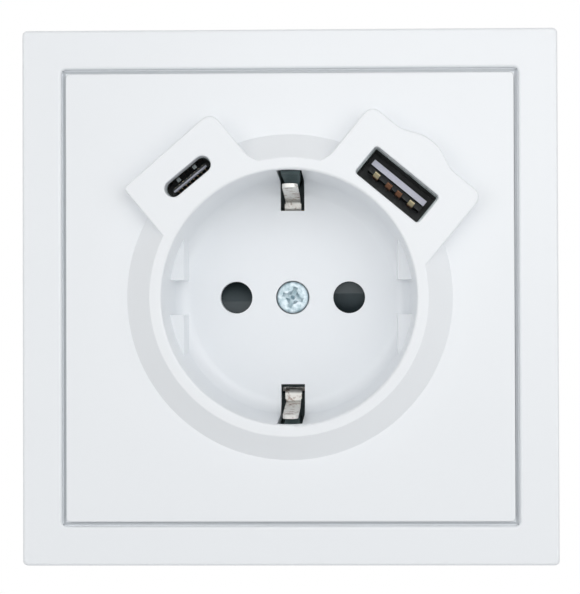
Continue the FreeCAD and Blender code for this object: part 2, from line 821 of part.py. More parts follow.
def screw_holes(base):
    """Bosses: two in front for the mounting plate, four behind for the rear cover."""
    place = s.boss_place
    pilot = s.small_screw / 2 + s.touch_gap
    for sign in (-1, 1):
        base.pad("front", 0, s.deck_level, Disc(sign * place, -place, s.boss_radius))
        base.cut("front", 0, s.pilot_depth, Disc(sign * place, -place, pilot))
        for up in (-1, 1):
            base.pad("front", DECK_BACK, LID_FRONT, Disc(sign * place, up * place, s.boss_radius))
            base.cut("front", LID_FRONT - s.pilot_depth, LID_FRONT, Disc(sign * place, up * place, pilot))


def contact_chambers(base):
    """Walls round the two pin contacts, which also carry the power board, and the pin holes of the deck."""
    wide = s.chamber_half_width
    high = s.chamber_half_height
    wall = s.chamber_wall
    for sign in (-1, 1):
        middle = sign * PIN
        base.pad("front", DECK_BACK, s.power_board_level,
                 rect(middle - wide - wall, middle + wide + wall, -high - wall, high + wall),
                 rect(middle - wide, middle + wide, -high, high))
        tail = sign * (PIN + s.contact_width / 2 + s.contact_metal / 2)
        base.cut("front", s.pillar_front, s.power_board_level,
                 rect(tail - s.contact_metal, tail + s.contact_metal, -high - wall, -high))
        base.cut("front", s.deck_level, DECK_BACK, Disc(middle, 0, PIN_RADIUS + s.screw_clearance))
    base.cut("front", s.deck_level, DECK_BACK, Disc(0, 0, s.screw_shank / 2 + s.screw_clearance))


def terminal_seats(base):
    """Seats of the pillars, the walls between them and the wire entries in the bottom wall."""
    half = s.pillar / 2
    bow_end = -(s.clip_foot + s.bow_metal + s.bow_drop + s.fit_gap)
    for place in PILLAR_PLACES:
        top = bow_end if place is PILLAR_PLACES[1] else PILLAR_TOP
        base.pad("front", DECK_BACK, s.pillar_front, rect(place - half, place + half, PILLAR_BOTTOM, top))
        base.cut("top", -s.base_radius, PILLAR_BOTTOM, Disc(place, s.wire_level, s.wire_hole / 2 + s.screw_clearance))
    wall = s.chamber_wall / 2
    foot = s.base_wall / 2 - s.base_flat
    for sign in (-1, 1):
        divider = sign * s.pillar_place / 2
        base.pad("front", DECK_BACK, s.power_board_level,
                 rect(divider - wall, divider + wall, foot, foot + s.divider_height))


def make_rear_cover():
    """Moulded lid with a locating lip, four screw holes and access to the clamping screws."""
    cover = Piece("rear_cover")
    cover.pad("front", LID_FRONT, s.base_depth, Barrel(s.base_radius, s.base_flat))
    radius = BASE_INNER - s.fit_gap
    flat = FLAT_INNER - s.fit_gap
    cover.pad("front", LID_FRONT - s.lip_depth, LID_FRONT, Barrel(radius, flat),
              Barrel(radius - s.lip_wall, flat - s.lip_wall))
    for across in (-1, 1):
        for up in (-1, 1):
            x = across * s.boss_place
            y = up * s.boss_place
            cover.cut("front", LID_FRONT - s.lip_depth, LID_FRONT, Disc(x, y, s.boss_radius + s.fit_gap))
            cover.cut("front", LID_FRONT, s.base_depth, Disc(x, y, s.small_screw / 2 + s.fit_gap))
    for place in PILLAR_PLACES:
        cover.cut("front", LID_FRONT, s.base_depth,
                  Disc(place, -s.pillar_height, s.clamp_head / 2 + s.access_gap))


def make_shutter():
    """Two arms on a hub. Each arm covers a pin hole and has a ramp that a pin pushes aside."""
    shutter = Piece("shutter")
    reach = s.shutter_reach
    half = s.shutter_half
    shutter.pad("front", SHUTTER_FRONT, SHUTTER_BACK, rect(-reach, reach, -half, half, s.shutter_corner))
    shutter.pad("front", SHUTTER_FRONT, SHUTTER_BACK, Disc(0, 0, s.shutter_hub))
    shutter.turned("Groove", [(s.shutter_neck, SHUTTER_STEP), (MOAT, SHUTTER_STEP),
                              (MOAT, s.deck_level), (s.shutter_neck, s.deck_level)])
    shutter.cut("front", SHUTTER_FRONT, SHUTTER_BACK, Disc(0, 0, COLUMN + s.shutter_bore_gap))
    hook = s.spring_wire / 2 + s.fit_gap
    notch_end = s.spring_coil + s.spring_hook + s.fit_gap
    shutter.cut("front", SHUTTER_STEP, SHUTTER_BACK, rect(-notch_end, s.spring_room - MOAT, -hook, hook))
    far = half + s.fit_gap
    level = SHUTTER_FRONT - s.fit_gap
    ramp = [(level, s.ramp_start), (SHUTTER_FRONT + s.ramp_drop, -far), (level, -far)]
    inner = PIN - PIN_RADIUS - s.ramp_margin
    shutter.cut("side", inner, reach, ramp)
    shutter.cut("side", -reach, -inner, upside_down(ramp))


def make_shutter_spring():
    """Torsion spring round the hub's neck: a hook in a notch of the arm, its tail in a hole of the deck."""
    wire = s.spring_wire.number / 2
    drawn = wire * math.cos(math.pi / WIRE_SIDES)
    start_level = SHUTTER_STEP.number + wire + s.touch_gap.number
    height = s.spring_pitch.number * s.spring_turns.number
    helix = Part.makeHelix(s.spring_pitch.number, height, s.spring_coil.number)
    helix.rotate(Vector(0, 0, 0), Vector(1, 0, 0), 90)
    helix.rotate(Vector(0, 0, 0), Vector(0, 0, 1), 180)
    helix.translate(Vector(0, start_level, 0))
    coil = helix.Edges[0]
    first = coil.valueAt(coil.FirstParameter)
    last = coil.valueAt(coil.LastParameter)
    corners = [first + Vector(wire * math.cos(angle), wire * math.sin(angle), 0)
               for angle in [math.tau * side / WIRE_SIDES for side in range(WIRE_SIDES + 1)]]
    section = Part.makePolygon(corners)
    spring = doc.addObject("Part::Feature", "shutter_spring")
    coil_solid = Part.Wire([coil]).makePipeShell([section], True, True)
    hook = Part.makeCylinder(drawn, s.spring_hook.number, first, Vector(first.x, 0, first.z))
    tail = Part.makeCylinder(drawn, s.spring_tail.number, last, Vector(0, 1, 0))
    spring.Shape = coil_solid.fuse([hook, tail]).removeSplitter()
    spring.Label = "shutter_spring"
    parts.append(spring)


def heading(start, end):
    """Direction from one corner to another as two plain numbers."""
    dx = end[0].number - start[0].number
    dy = end[1].number - start[1].number
    length = math.hypot(dx, dy)
    return dx / length, dy / length


def strip_profile(points, thickness, bend):
    """Outline of a bent strip from its centre line, as corners for a sketch: one side out, the other back.

    A bend has the given radius inside and the thickness more outside.
    """
    left = []
    right = []
    last = len(points) - 1
    for i, (x, y) in enumerate(points):
        before = heading(points[max(i - 1, 0)], points[max(i, 1)])
        after = heading(points[min(i, last - 1)], points[min(i + 1, last)])
        spread = 1 + before[0] * after[0] + before[1] * after[1]
        across = thickness / 2 / spread
        dx = across * (before[1] + after[1])
        dy = across * (before[0] + after[0])
        leftward = before[0] * after[1] > before[1] * after[0]
        inside, outside = (bend, bend + thickness) if 0 < i < last else (None, None)
        left.append((x - dx, y + dy, inside if leftward else outside))
        right.append((x + dx, y - dy, outside if leftward else inside))
    return left + right[::-1]


def make_earth_bow():
    """One strip of nickel plated brass: bridge behind the deck, a tail, and two clips up through the slots.

    Each clip has a leg, a foot outwards under the recess floor, and a narrower riser with a rounded end.
    """
    bow = Piece("earth_bow")
    metal = s.bow_metal
    half = s.bow_width / 2
    foot = s.clip_foot + metal
    bow.pad("front", DECK_BACK, DECK_BACK + metal, rect(-half, half, -foot - s.bow_drop, foot - s.bow_drop))
    wide = s.clip_foot_width / 2
    slim = s.clip_width / 2
    for sign in (-1, 1):
        leg = sign * (s.clip_foot + metal / 2) - s.bow_drop
        riser = sign * s.clip_riser - s.bow_drop
        tip = sign * s.clip_tip - s.bow_drop
        corner = (s.clip_foot_level, riser)
        foot_end = riser - sign * (s.bow_bend + metal / 2)
        bow.pad("side", -wide, wide,
                strip_profile([(DECK_BACK + metal / 2, leg), (s.clip_foot_level, leg),
                               (s.clip_foot_level, foot_end)], metal, s.bow_bend))
        bow.pad("side", -slim, slim,
                strip_profile([(s.clip_foot_level, foot_end - sign * metal / 2), corner,
                               (s.clip_tip_level, tip)], metal, s.bow_bend))
    bow.fillet(s.clip_tip_round, lambda edge: edge.BoundBox.YMax < s.clip_tip_level.number + metal.number
               and edge.BoundBox.XLength < 1e-4)
    bow.cut("front", DECK_BACK, DECK_BACK + metal, Disc(0, 0, s.screw_shank / 2 + s.touch_gap))
    bow.pad("front", DECK_BACK + metal / 2, s.wire_level,
            rect(-s.contact_width / 2, s.contact_width / 2, PILLAR_TOP, PILLAR_TOP + metal))


def make_pin_contact(label, sign):
    """Spring contact for one plug pin: two leaves from a back bridge, and a tail down to the terminal."""
    contact = Piece(label)
    metal = s.contact_metal
    half = s.contact_width / 2
    grip = s.contact_grip + metal / 2
    mouth = s.contact_mouth + metal / 2
    start = DECK_BACK + s.port_notch_gap
    end = s.contact_end - metal / 2
    back = grip + s.contact_spread
    grip_end = s.contact_grip_level + s.contact_flat
    line = [(start, mouth), (start + s.contact_lead, mouth - s.contact_spread / 2), (s.contact_grip_level, grip),
            (grip_end, grip), (end - s.contact_lead, back), (end, back)]
    upper = strip_profile(line, metal, s.contact_bend)
    left = sign * PIN - half
    right = sign * PIN + half
    contact.pad("side", left, right, upper)
    contact.pad("front", end - metal / 2, end + metal / 2, rect(left, right, -back - metal / 2, back + metal / 2))
    contact.pad("side", left, right, upside_down(upper))
    tail = right if sign > 0 else left - metal
    contact.pad("side", tail, tail + metal, rect(grip_end, end, PILLAR_TOP, metal / 2 - grip))


def make_terminal(label, place):
    """Brass pillar with a cross hole for the wire and a tapped hole for its clamping screw."""
    pillar = Piece(label)
    half = s.pillar / 2
    pillar.pad("front", s.pillar_front, s.pillar_back,
               rect(place - half, place + half, PILLAR_BOTTOM, PILLAR_TOP, s.pillar_corner))
    pillar.cut("top", PILLAR_BOTTOM, PILLAR_TOP, Disc(place, s.wire_level, s.wire_hole / 2))
    pillar.cut("front", s.wire_level, s.pillar_back, Disc(place, -s.pillar_height, s.clamp_screw / 2))


def cylinder(label, x, z, radius, front, back):
    """A round bar along Y between two levels."""
    bar = doc.addObject("Part::Cylinder", label)
    bar.setExpression("Radius", radius.text)
    bar.setExpression("Height", (back - front).text)
    bar.Placement = FreeCAD.Placement(Vector(0, 0, 0), FreeCAD.Rotation(Vector(1, 0, 0), -90))
    bar.setExpression(".Placement.Base.x", x.text)
    bar.setExpression(".Placement.Base.y", front.text)
    bar.setExpression(".Placement.Base.z", z.text)
    return bar


def block(label, lows, highs):
    """A square bar between two corners."""
    bar = doc.addObject("Part::Box", label)
    for prop, axis, low, high in zip(("Length", "Width", "Height"), "xyz", lows, highs):
        bar.setExpression(prop, (high - low).text)
        bar.setExpression(f".Placement.Base.{axis}", low.text)
    return bar


def make_screw(name, x, z, seat, tip, shank, head, head_height):
    """A slotted screw along Y from its tip to its seat, with the head beyond the seat."""
    outward = 1 if seat.number > tip.number else -1
    top = seat + outward * head_height
    levels = sorted((tip, seat, top), key=lambda level: level.number)
    shank_ends = levels[:2] if outward > 0 else levels[1:]
    head_ends = levels[1:] if outward > 0 else levels[:2]
    fused = doc.addObject("Part::Fuse", f"{name}_turned")
    fused.Base = cylinder(f"{name}_head", x, z, head / 2, *head_ends)
    fused.Tool = cylinder(f"{name}_shank", x, z, shank / 2, *shank_ends)
    saw = sorted((top, top - outward * s.saw_depth), key=lambda level: level.number)
    screw = doc.addObject("Part::Cut", name)
    screw.Base = fused
    screw.Tool = block(f"{name}_saw", (x - head / 2, saw[0], z - s.saw_width / 2),
                       (x + head / 2, saw[1], z + s.saw_width / 2))
    return screw


def group(label, solids):
    """Several like pieces, each its own solid, under one name."""
    made = doc.addObject("Part::Compound", label)
    made.Links = solids
    made.Label = label
    parts.append(made)


def make_centre_screw():
    """Zinc plated M3 screw with a flat round head and a cross recess."""
    screw = Piece("centre_screw")
    top = FLOOR_BACK - s.screw_head_height
    screw.turned("Revolution", [(0, top), (s.screw_head / 2, top, s.screw_head_edge),
                                (s.screw_head / 2, FLOOR_BACK), (s.screw_shank / 2, FLOOR_BACK),
                                (s.screw_shank / 2, s.screw_reach, s.screw_head_edge), (0, s.screw_reach)])
    slim = s.cross_width / 2
    reach = s.cross_reach
    for arm in (rect(-reach, reach, -slim, slim), rect(-slim, slim, -reach, reach)):
        screw.cut("front", top, top + s.cross_depth, arm, turn=-s.cross_turn)
    screw.turned("Groove", [(0, top), (s.cross_cone, top), (0, top + s.cross_cone_depth)])


def make_small_screws():
    """The three clamping screws, the four screws of the rear cover and the two of the mounting plate."""
    clamps = []
    for index, place in enumerate(PILLAR_PLACES):
        clamps.append(make_screw(f"clamp_{index}", place, -s.pillar_height, s.pillar_back + s.fit_gap,
                                 s.wire_level + s.wire_hole / 2, s.clamp_screw - s.touch_gap * 2, s.clamp_head,
                                 s.clamp_head_height))
    group("terminal_screws", clamps)
    covers = []
    plates = []
    sizes = (s.small_screw, s.small_head, s.small_head_height)
    for across in (-1, 1):
        x = across * s.boss_place
        for up in (-1, 1):
            covers.append(make_screw(f"cover_screw_{across}_{up}", x, up * s.boss_place, s.base_depth,
                                     LID_FRONT - s.small_screw_reach, *sizes))
        plates.append(make_screw(f"plate_screw_{across}", x, -s.boss_place, -s.sheet, s.small_screw_reach, *sizes))
    group("cover_screws", covers)
    group("plate_screws", plates)


def make_usb_a_port():
    """Receptacle of bent sheet, an insulator with the tongue, and four gold plated leaves under it."""
    front = RIM + s.mouth_a_depth
    back = s.port_board_level
    turn = s.ear_a_turn
    shell = Piece("usb_a_shell")
    shell.pad("front", front, back, port_a(0), port_a(-s.port_metal), turn=turn)

    tongue = Piece("usb_a_tongue")
    block_front = back - s.port_block
    tongue.pad("front", block_front, back, port_a(-s.port_metal - s.touch_gap), turn=turn)
    middle = -s.port_a_aside
    wide = s.tongue_a_width / 2
    outer = s.port_a_out + s.tongue_a_rise + s.tongue_a_thickness / 2
    inner = outer - s.tongue_a_thickness
    tip = front + s.tongue_recess
    step = tip + s.tongue_a_step
    tongue.pad("front", step, block_front, rect(inner, outer, middle - wide, middle + wide), turn=turn)
    tongue.pad("front", tip, step, rect(outer - s.tongue_a_edge, outer, middle - wide, middle + wide), turn=turn)

    leaves = []
    half = s.leaf_width / 2
    line = inner - s.leaf_metal / 2
    for offset, start in ((-s.leaf_far, s.leaf_long), (-s.leaf_near, s.leaf_short),
                          (s.leaf_near, s.leaf_short), (s.leaf_far, s.leaf_long)):
        leaf = Piece(f"usb_a_leaf_{len(leaves)}", kept=False, turn=turn)
        curl = tip + start
        points = [(line, block_front), (line, step), (line - s.leaf_dip, curl + s.leaf_dip_length),
                  (line - s.leaf_dip + s.leaf_hook, curl)]
        leaf.pad("top", middle + offset - half, middle + offset + half,
                 strip_profile(points, s.leaf_metal, s.leaf_bend))
        leaves.append(leaf.body)
    group("usb_a_contacts", leaves)


def make_usb_c_port():
    """Drawn stadium shell with two dimples, an insulator with the thin tongue and contacts on both of its faces."""
    front = RIM + s.mouth_c_depth
    back = s.port_board_level
    turn = s.ear_c_turn
    shell = Piece("usb_c_shell")
    shell.pad("front", front, back, port_c(0), port_c(-s.port_metal), turn=turn)
    wall = s.port_c_out + s.port_c_height / 2 - s.port_metal
    start = front + s.dimple_start
    for sign in (-1, 1):
        place = s.port_c_aside + sign * s.dimple_place
        shell.pad("front", start, start + s.dimple_length,
                  rect(wall - s.dimple_height, wall + s.port_metal / 2, place - s.dimple_width / 2,
                       place + s.dimple_width / 2), turn=turn)

    tongue = Piece("usb_c_tongue")
    block_front = back - s.port_block
    tongue.pad("front", block_front, back, port_c(-s.port_metal - s.touch_gap), turn=turn)
    middle = s.port_c_aside
    wide = s.tongue_c_width / 2
    tip = front + s.tongue_recess
    step = tip + s.tongue_c_step
    for thickness, low, high in ((s.tongue_c_edge, tip, step), (s.tongue_c_thickness, step, block_front)):
        tongue.pad("front", low, high, rect(s.port_c_out - thickness / 2, s.port_c_out + thickness / 2,
                                            middle - wide, middle + wide), turn=turn)

    pads = []
    slim = s.contact_c_width / 2
    for side in (-1, 1):
        face = s.port_c_out + side * s.tongue_c_thickness / 2
        surface = face + side * s.contact_c_metal
        low, high = (surface, face) if side < 0 else (face, surface)
        for index in range(CONTACTS_PER_ROW):
            across = middle + (index - (CONTACTS_PER_ROW - 1) / 2) * s.contact_c_pitch
            pad = Piece(f"usb_c_pad_{len(pads)}", kept=False)
            pad.pad("front", tip + s.contact_c_start, block_front,
                    rect(low, high, across - slim, across + slim), turn=turn)
            pads.append(pad.body)
    group("usb_c_contacts", pads)


def make_boards():
    """Crescent board round the recess for the ports, and the charger's board behind the contacts."""
    level = s.port_board_level
    edge = s.base_radius - s.rebate - s.fit_gap
    flat = s.base_flat - s.rebate - s.fit_gap
    ports = Piece("port_board")
    ports.pad("front", level, BOARD_BACK, Barrel(edge, flat), Disc(0, 0, s.port_board_inner))
    ports.cut("front", level, BOARD_BACK, rect(-s.base_radius, s.base_radius, -s.base_radius, s.port_board_foot))

    power = Piece("power_board")
    half = s.boss_place - s.boss_radius - s.power_board_gap
    tab = s.link_tab / 2
    tab_top = FLAT_INNER - s.fit_gap
    power.pad("front", s.power_board_level, s.power_board_level + s.board,
              [(-half, -s.power_board_foot), (half, -s.power_board_foot), (half, s.power_board_top),
               (tab, s.power_board_top), (tab, tab_top), (-tab, tab_top), (-tab, s.power_board_top),
               (-half, s.power_board_top)])


def make_charger_parts():
    """Transformer with its core and winding, two electrolytic capacitors and the header between the boards."""
    board = s.power_board_level
    left = s.transformer_left
    foot = s.transformer_foot
    right = left + s.transformer_width
    top = foot + s.transformer_height
    front = board - s.transformer_depth
    transformer = Piece("transformer")
    transformer.pad("front", front + s.core_step, board, rect(left, right, foot, top))
    transformer.pad("front", front, board - s.core_step,
                    rect(left + s.bobbin_inset, right - s.bobbin_inset, foot - s.bobbin_proud,
                         top + s.bobbin_proud, s.bobbin_proud))
    for label, diameter, length, up in (
            ("input_capacitor", s.input_cap, s.input_cap_length, s.input_cap_up),
            ("output_capacitor", s.output_cap, s.output_cap_length, s.output_cap_up)):
        can = Piece(label)
        can.pad("front", board - length, board, Disc(s.cap_place, up, diameter / 2))
        can.fillet(s.cap_edge, lambda edge, level=board - length: at_level(edge, level))
    header = Piece("board_link")
    half = s.link_width / 2
    header.pad("front", BOARD_BACK, board, rect(-half, half, LINK_LOW, LINK_LOW + s.link_thickness))


make_mounting_plate()
make_cover_frame()
make_centre_plate()
make_base_housing()
make_rear_cover()
make_shutter()
make_shutter_spring()
make_earth_bow()
make_pin_contact("live_contact", 1)
make_pin_contact("neutral_contact", -1)
for name, place in zip(("neutral_terminal", "earth_terminal", "live_terminal"), PILLAR_PLACES):
    make_terminal(name, place)
make_centre_screw()
make_small_screws()
make_usb_a_port()
make_usb_c_port()
make_boards()
make_charger_parts()
doc.recompute()

for item in doc.Objects:
    if "Invalid" in item.State or "Error" in item.State:
        raise RuntimeError(f"{item.Name} failed: {item.State}")
os.makedirs("parts", exist_ok=True)
for part in parts:
    shape = part.Shape
    if shape.isNull() or not shape.isValid():
        raise RuntimeError(f"{part.Label} has no valid shape")
    shape.exportStep(f"parts/{part.Label}.step")
    print(f"{part.Label}: {len(shape.Solids)} solid, {shape.Volume:.1f} mm3")
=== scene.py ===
"""The looks of an 86 mm flush wall socket with USB-A and USB-C ports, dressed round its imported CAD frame.

Metres. X runs right, Z up, and the room is on the -Y side of the wall plane y = 0. The pieces come in the order in
which the socket is put together, from its base and what that carries to the centre plate and its screw.
"""

import math

import bpy
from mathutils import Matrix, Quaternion, Vector


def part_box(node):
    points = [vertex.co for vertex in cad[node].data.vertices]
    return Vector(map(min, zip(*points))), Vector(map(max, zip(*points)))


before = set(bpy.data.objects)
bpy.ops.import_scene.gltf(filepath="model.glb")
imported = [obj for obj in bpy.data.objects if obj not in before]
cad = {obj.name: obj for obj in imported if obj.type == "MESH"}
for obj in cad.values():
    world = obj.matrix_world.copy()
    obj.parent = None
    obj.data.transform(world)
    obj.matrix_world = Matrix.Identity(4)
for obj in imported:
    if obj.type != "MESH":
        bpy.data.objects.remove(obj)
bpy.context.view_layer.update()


# Base housing and rear cover are moulded from flame retardant nylon, slate grey. The mould is spark eroded, so the
# surface is dull, with a fine grain. Four screws hold the cover on, once everything else is inside.
MM = 0.001
NYLON_GRAIN = 0.25 * MM


def linear(code):
    """An sRGB hex colour such as "C8D0D4" as linear RGBA."""
    shades = [int(code[i:i + 2], 16) / 255 for i in (0, 2, 4)]
    return (*[c / 12.92 if c <= 0.04045 else ((c + 0.055) / 1.055) ** 2.4 for c in shades], 1.0)


def add(tree, kind, sockets=None, links=(), **settings):
    """A node of that kind, with its sockets' values by name or number and links as (socket, node, its output)."""
    made = tree.nodes.new(kind)
    for name, value in settings.items():
        setattr(made, name, value)
    for socket, value in (sockets or {}).items():
        made.inputs[socket].default_value = value
    for socket, source, output in links:
        tree.links.new(source.outputs[output], made.inputs[socket])
    return made


def start_material(name, **settings):
    """A new material with a Principled shader. Returns the material, its tree, the shader and the place node."""
    made = bpy.data.materials.new(name)
    made.use_nodes = True
    tree = made.node_tree
    tree.nodes.clear()
    shader = add(tree, "ShaderNodeBsdfPrincipled", {key.replace("_", " "): settings[key] for key in settings})
    add(tree, "ShaderNodeOutputMaterial", links=[("Surface", shader, "BSDF")])
    return made, tree, shader, add(tree, "ShaderNodeTexCoord")


def mottle(tree, shader, place, size, dark, light, detail=3.0):
    """Base colour that drifts between two tones over patches of that size."""
    noise = add(tree, "ShaderNodeTexNoise", {"Scale": 1 / size, "Detail": detail}, [("Vector", place, "Object")])
    reach = add(tree, "ShaderNodeMapRange", {"From Min": 0.35, "From Max": 0.65}, [("Value", noise, "Fac")])
    tone = add(tree, "ShaderNodeMix", {6: linear(dark), 7: linear(light)}, [(0, reach, "Result")],
               data_type="RGBA")
    tree.links.new(tone.outputs[2], shader.inputs["Base Color"])


def vary(tree, shader, place, size, low, high, detail=3.0):
    """Roughness that drifts between two values over patches of that size."""
    noise = add(tree, "ShaderNodeTexNoise", {"Scale": 1 / size, "Detail": detail}, [("Vector", place, "Object")])
    reach = add(tree, "ShaderNodeMapRange", {"From Min": 0.3, "From Max": 0.7, "To Min": low, "To Max": high},
                [("Value", noise, "Fac")])
    tree.links.new(reach.outputs["Result"], shader.inputs["Roughness"])


def waves(tree, shader, place, size, depth, strength, detail=2.0):
    """Bumps of that size and depth on the surface."""
    noise = add(tree, "ShaderNodeTexNoise", {"Scale": 1 / size, "Detail": detail}, [("Vector", place, "Object")])
    bump = add(tree, "ShaderNodeBump", {"Strength": strength, "Distance": depth}, [("Height", noise, "Fac")])
    tree.links.new(bump.outputs["Normal"], shader.inputs["Normal"])


def finish(material, *names):
    """Gives these CAD nodes this material."""
    for name in names:
        mesh = cad[name].data
        mesh.materials.clear()
        mesh.materials.append(material)


slate, tree, shader, place = start_material("slate_nylon_eroded_mould", IOR=1.53)
mottle(tree, shader, place, size=6 * MM, dark="516264", light="596B6D")
vary(tree, shader, place, size=NYLON_GRAIN, low=0.45, high=0.6)
waves(tree, shader, place, size=NYLON_GRAIN, depth=0.02 * MM, strength=0.3)
finish(slate, "base_housing", "rear_cover")


# The pin contacts are stamped from half hard brass sheet, and the terminal pillars are cut from brass bar. They are
# pushed into chambers of the base and left bare, so they have darkened a little.
brass, tree, shader, place = start_material("bare_brass", Metallic=1.0)
mottle(tree, shader, place, size=1.5 * MM, dark="C9A765", light="E2C586")
vary(tree, shader, place, size=0.6 * MM, low=0.25, high=0.4)
finish(brass, "live_contact", "neutral_contact", "live_terminal", "neutral_terminal", "earth_terminal")


# The earth bow is stamped and bent from brass strip, nickel plated and laid on the deck of the base. Plugs have
# rubbed its two clips, so the plating is dimpled and in places worn to warm brown.
RUB_SIZE = 1.3 * MM
RUB_SEED = 2.0

nickel, tree, shader, place = start_material("rubbed_nickel_plated_strip", Metallic=0.4)
rubs = add(tree, "ShaderNodeTexNoise", {"Scale": 1 / RUB_SIZE, "Detail": 4.0, "Roughness": 0.6, "W": RUB_SEED},
           [("Vector", place, "Object")], noise_dimensions="4D")
worn = add(tree, "ShaderNodeMapRange", {"From Min": 0.55, "From Max": 0.66}, [("Value", rubs, "Fac")])
tone = add(tree, "ShaderNodeMix", {6: linear("EEEDE8"), 7: linear("8A6858")}, [(0, worn, "Result")],
           data_type="RGBA")
tree.links.new(tone.outputs[2], shader.inputs["Base Color"])
vary(tree, shader, place, size=0.8 * MM, low=0.28, high=0.5)
waves(tree, shader, place, size=0.7 * MM, depth=0.05 * MM, strength=0.7)
finish(nickel, "earth_bow")


# Both circuit boards are glass epoxy with green solder mask. One lies behind the deck of the base, and the other
# carries the ports. Copper under the mask shows as lighter fields, with darker gaps between them.
COPPER_FIELD = 1.6 * MM

mask_green, tree, shader, place = start_material("green_solder_mask", IOR=1.5)
cells = add(tree, "ShaderNodeTexVoronoi", {"Scale": 1 / COPPER_FIELD, "Randomness": 0.7},
            [("Vector", place, "Object")], distance="CHEBYCHEV")
gaps = add(tree, "ShaderNodeMapRange", {"From Min": 0.3, "From Max": 0.34}, [("Value", cells, "Distance")])
tone = add(tree, "ShaderNodeMix", {6: linear("2E8052"), 7: linear("1C6239")}, [(0, gaps, "Result")],
           data_type="RGBA")
tree.links.new(tone.outputs[2], shader.inputs["Base Color"])
vary(tree, shader, place, size=2 * MM, low=0.25, high=0.38)
finish(mask_green, "port_board", "power_board")


# The transformer is soldered to the power board. Its core is sintered ferrite, dull and dark, with a leg at each
# side, and the winding between the legs is wrapped in smooth yellow tape.
TAPE_EDGE = 4.51 * MM

core_low, core_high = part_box("transformer")
core_middle = (core_low[0] + core_high[0]) / 2
wound, tree, shader, place = start_material("taped_winding_in_ferrite_core")
parts = add(tree, "ShaderNodeSeparateXYZ", links=[("Vector", place, "Object")])
across = add(tree, "ShaderNodeMath", {1: core_middle}, [(0, parts, "X")], operation="SUBTRACT")
away = add(tree, "ShaderNodeMath", links=[(0, across, "Value")], operation="ABSOLUTE")
core = add(tree, "ShaderNodeMath", {1: TAPE_EDGE}, [(0, away, "Value")], operation="GREATER_THAN")
tone = add(tree, "ShaderNodeMix", {6: linear("DDB83E"), 7: linear("33353A")}, [(0, core, "Value")],
           data_type="RGBA")
dull = add(tree, "ShaderNodeMapRange", {"To Min": 0.35, "To Max": 0.75}, [("Value", core, "Value")])
tree.links.new(tone.outputs[2], shader.inputs["Base Color"])
tree.links.new(dull.outputs["Result"], shader.inputs["Roughness"])
waves(tree, shader, place, size=0.5 * MM, depth=0.05 * MM, strength=0.3)
finish(wound, "transformer")


# The two electrolytic capacitors are aluminium cans, soldered to the power board. Each has a shrunk vinyl sleeve
# that stops short of the flat top, where bare metal shows.
SLEEVE_STOP = 0.45 * MM

for name, shade in (("input_capacitor", "1D2430"), ("output_capacitor", "26313A")):
    flat_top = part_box(name)[0][1]
    can, tree, shader, place = start_material(f"{name}_shrunk_sleeve")
    parts = add(tree, "ShaderNodeSeparateXYZ", links=[("Vector", place, "Object")])
    bare = add(tree, "ShaderNodeMath", {1: flat_top + SLEEVE_STOP}, [(0, parts, "Y")], operation="LESS_THAN")
    tone = add(tree, "ShaderNodeMix", {6: linear(shade), 7: linear("C5C8CB")}, [(0, bare, "Value")],
               data_type="RGBA")
    tree.links.new(tone.outputs[2], shader.inputs["Base Color"])
    tree.links.new(bare.outputs["Value"], shader.inputs["Metallic"])
    vary(tree, shader, place, size=0.8 * MM, low=0.3, high=0.42)
    finish(can, name)


# The pin header between the boards is moulded in black nylon and soldered to both. It has the gloss of its mould, a
# little uneven.
black_nylon, tree, shader, place = start_material("black_nylon_header", IOR=1.53)
mottle(tree, shader, place, size=2 * MM, dark="1A1B1D", light="232527")
vary(tree, shader, place, size=0.5 * MM, low=0.4, high=0.5)
finish(black_nylon, "board_link")


# The two port shells are bent and drawn from steel sheet, nickel plated and soldered to the port board. The plating
# is smooth, and given a dark tone as painted shade for the gap round the rims, so they look grey by the white
# plastic.
port_steel, tree, shader, place = start_material("nickel_plated_port_shell", Metallic=1.0)
# These dark tones are painted shade from the gap round the rims, not the plating's own colour.
mottle(tree, shader, place, size=1.5 * MM, dark="666C6D", light="7C8384")
vary(tree, shader, place, size=0.7 * MM, low=0.1, high=0.2)
finish(port_steel, "usb_a_shell", "usb_c_shell")


# The port insulators are moulded from glass filled resin, green black, and held in the shells. The nose of the
# larger tongue is painted pale lilac grey, as painted light where its front edge catches the lamps. The smaller
# tongue has a steel plate inside, whose edge shows as a thin light line in its nose.
GLASS_FLECK = 0.5 * MM
NOSE_END = -8.1 * MM
WHOLE_NOSE = 100 * MM
STEEL_TURN = math.radians(129.5)
STEEL_AT = 24.82 * MM
STEEL_HALF = 0.14 * MM

